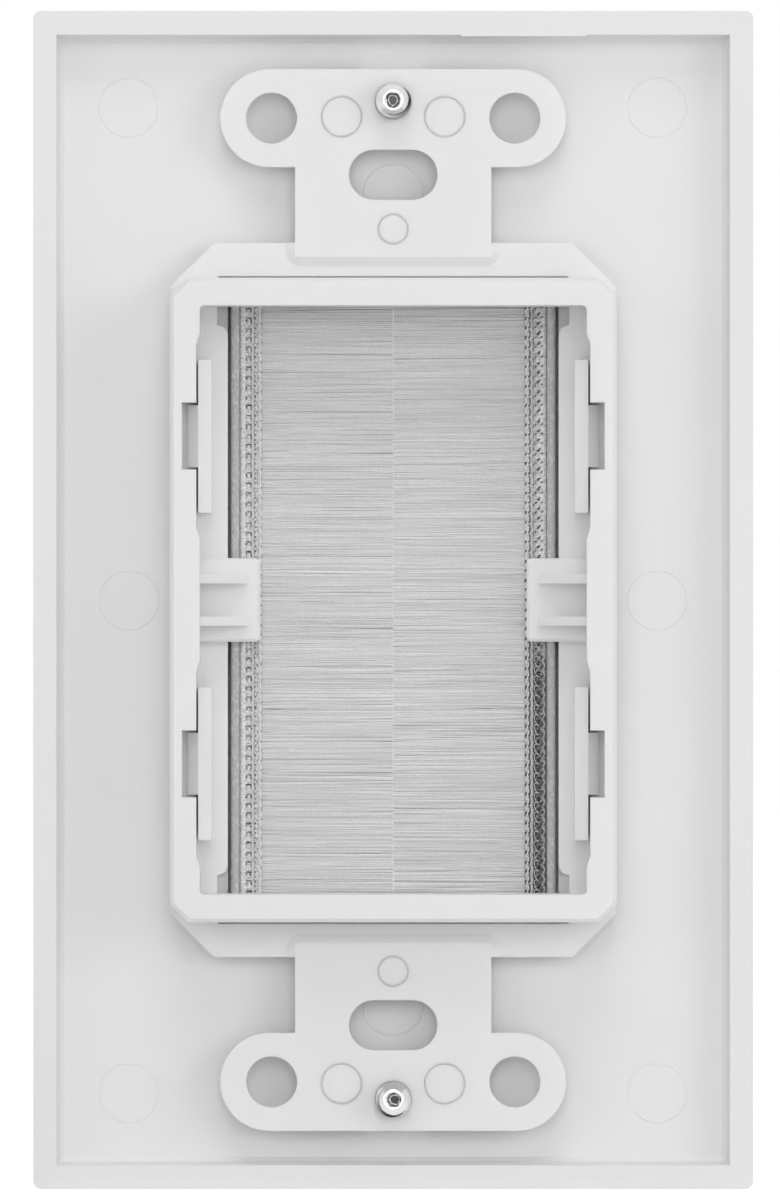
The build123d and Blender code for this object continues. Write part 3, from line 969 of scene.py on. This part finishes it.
def meshObject(name, mesh):
    data = bpy.data.meshes.new(name)
    mesh.to_mesh(data)
    mesh.free()
    made = bpy.data.objects.new(name, data)
    bpy.context.scene.collection.objects.link(made)
    return made


def makeHead(name, look, placeZ):
    # Turned from its outline about the screw's axis, then slotted
    mesh = bmesh.new()
    rings = []
    for r, y in headOutline(look):
        ring = []
        for step in range(look["segments"]):
            angle = 2 * math.pi * step / look["segments"]
            ring.append(mesh.verts.new((r * math.cos(angle), y, placeZ + r * math.sin(angle))))
        rings.append(ring)
    for first, second in zip(rings, rings[1:]):
        for step in range(look["segments"]):
            after = (step + 1) % look["segments"]
            mesh.faces.new((first[step], first[after], second[after], second[step]))
    mesh.faces.new(rings[0][::-1])
    mesh.faces.new(rings[-1])
    bmesh.ops.recalc_face_normals(mesh, faces=mesh.faces)
    head = meshObject(name, mesh)

    slotMesh = bmesh.new()
    bmesh.ops.create_cube(slotMesh, size=1.0)
    top = look["faceY"] - look["domeHeight"]
    size = (look["radius"] * look["slotReach"], look["slotDepth"] * 2, look["slotWidth"], 1)
    slotMesh.transform(Matrix.Translation((0, top, placeZ)) @ Matrix.Diagonal(size))
    cutter = meshObject("slotCutter", slotMesh)
    cut = head.modifiers.new("slot", "BOOLEAN")
    cut.operation = "DIFFERENCE"
    cut.solver = "EXACT"
    cut.object = cutter
    bpy.context.view_layer.update()
    evaluated = head.evaluated_get(bpy.context.evaluated_depsgraph_get())
    slotted = bpy.data.meshes.new_from_object(evaluated)
    head.modifiers.remove(cut)
    head.data = slotted
    bpy.data.objects.remove(cutter)
    slotted.materials.clear()
    slotted.materials.append(headPaint)
    for face in slotted.polygons:
        face.use_smooth = False
    return head


shankGraph = buildShankGraph()
for name, node, sign, changes in (
    ("topCoverScrew", "top_cover_screw", 1, {"Turn": 0.6}),
    ("bottomCoverScrew", "bottom_cover_screw", -1, {"Turn": 2.3, "Crater shift": -0.18 * mm}),
):
    placeZ = sign * shank["Place z"]
    rod = shankGraph.make(name + "Shank", shank | {"Place z": placeZ} | changes)
    screw = joined(name, [rod, makeHead(name + "Head", screwHead, placeZ)])
    fit(screw, "screw_steel", node)
print("screws made")


# Floor, light and camera
stageLook = {
    "floorZ": cadBox[0].z,
    "floorSize": 12.0,
    "floorWhite": 0.9,
    "floorGlow": 1.3,
    "glowShare": 0.7,
    "worldLight": 0.33,
    "lampSize": 1.0,
    "lamps": {  # place and power
        "topLamp": (Vector((0.0, 1.0, 1.5)), 6.9),
        "frontLamp": (Vector((0.0, 2.0, 0.45)), 5.6),
        "keyLamp": (Vector((-1.3, 1.2, 0.3)), 5.9),
        "fillLamp": (Vector((1.3, 1.2, 0.3)), 2.7),
        "roomLamp": (Vector((-0.9, -1.6, 1.1)), 16.5),
    },
    "sensor": 36.0,
    "viewHeight": 116.4 * mm,
    "viewCentre": Vector((0.31 * mm, 0, 0)),
    "viewDistance": 1.5,
    "clipStart": 0.05,
    "clipEnd": 20.0,
}


def whiteBehind(graph):
    # 1 for rays that come from the camera or off a shiny surface
    path = graph.node("ShaderNodeLightPath")
    glossy = graph.other(path, "Is Glossy Ray")
    through = graph.other(path, "Is Transmission Ray")
    return path.least(glossy).least(through)


def makeFloor(look):
    mesh = bpy.data.meshes.new("floor")
    size, z = look["floorSize"], look["floorZ"]
    corners = [(-size, -size, z), (size, -size, z), (size, size, z), (-size, size, z)]
    mesh.from_pydata(corners, [], [(0, 1, 2, 3)])
    floor = bpy.data.objects.new("floor", mesh)
    bpy.context.scene.collection.objects.link(floor)
    material, graph = newMaterial("floorPaint")
    lit = graph.node("ShaderNodeBsdfDiffuse", {}, {"Color": grey(look["floorWhite"])})
    glow = graph.node("ShaderNodeEmission", {}, {
        "Color": (1, 1, 1, 1), "Strength": look["floorGlow"]})
    both = graph.node("ShaderNodeMixShader", {}, {
        0: whiteBehind(graph) * look["glowShare"], 1: lit, 2: glow})
    graph.end("ShaderNodeOutputMaterial", both)
    mesh.materials.append(material)


def makeLight(look):
    world = bpy.data.worlds.new("studio")
    bpy.context.scene.world = world
    world.use_nodes = True
    world.node_tree.nodes.clear()
    graph = Graph(world.node_tree)
    strength = whiteBehind(graph) * (1 - look["worldLight"]) + look["worldLight"]
    sky = graph.node("ShaderNodeBackground", {}, {"Color": (1, 1, 1, 1), "Strength": strength})
    graph.end("ShaderNodeOutputWorld", sky)
    for name, (place, power) in look["lamps"].items():
        lamp = bpy.data.lights.new(name, "AREA")
        lamp.shape = "DISK"
        lamp.size = look["lampSize"]
        lamp.energy = power
        stand = bpy.data.objects.new(name, lamp)
        stand.location = place
        stand.rotation_euler = place.to_track_quat("Z", "Y").to_euler()
        bpy.context.scene.collection.objects.link(stand)


def makeCamera(look):
    # It looks straight at the back of the plate
    camera = bpy.data.cameras.new("camera")
    camera.sensor_width = look["sensor"]
    camera.lens = look["sensor"] * look["viewDistance"] / look["viewHeight"]
    camera.clip_start = look["clipStart"]
    camera.clip_end = look["clipEnd"]
    eye = bpy.data.objects.new("camera", camera)
    eye.location = look["viewCentre"] + Vector((0, look["viewDistance"], 0))
    eye.rotation_euler = (math.radians(90), 0, math.radians(180))
    bpy.context.scene.collection.objects.link(eye)
    bpy.context.scene.camera = eye
    bpy.context.scene.view_settings.view_transform = "Standard"


makeFloor(stageLook)
makeLight(stageLook)
makeCamera(stageLook)
print("stage made")
